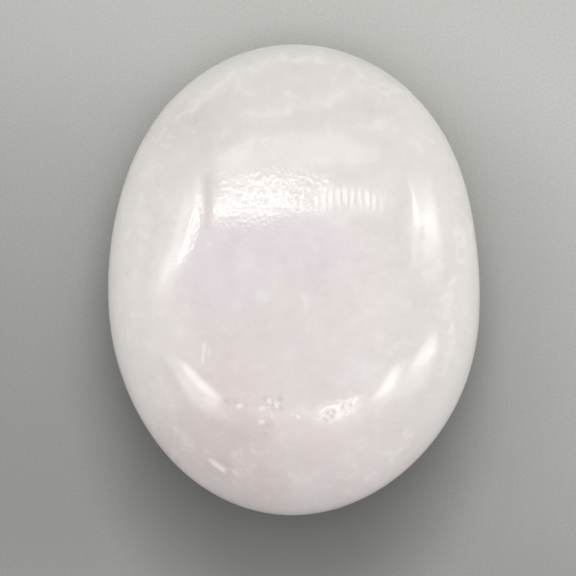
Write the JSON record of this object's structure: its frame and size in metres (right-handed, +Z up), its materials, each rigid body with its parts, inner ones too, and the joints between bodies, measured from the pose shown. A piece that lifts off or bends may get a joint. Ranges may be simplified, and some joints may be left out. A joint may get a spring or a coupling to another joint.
{
  "type": "palm stone",
  "caption": "Oval palm stone of milky, faintly pink mineral, polished, with a broad low-domed face, soft shoulders, round flanks and a small flat spot that it rests on.",
  "frame": {"origin": "on the flat spot that the stone rests on, under the middle of its outline", "axes": "+Z up, out of the broad upper face; +Y along the stone's length; +X across its width"},
  "size_m": [0.0496, 0.063, 0.023],
  "materials": {
    "milky_stone": "polished milky translucent mineral, near white with a faint pink cast and whiter veils"
  },
  "bodies": {
    "root": {"palm_stone": "milky_stone"}
  },
  "joints": []
}
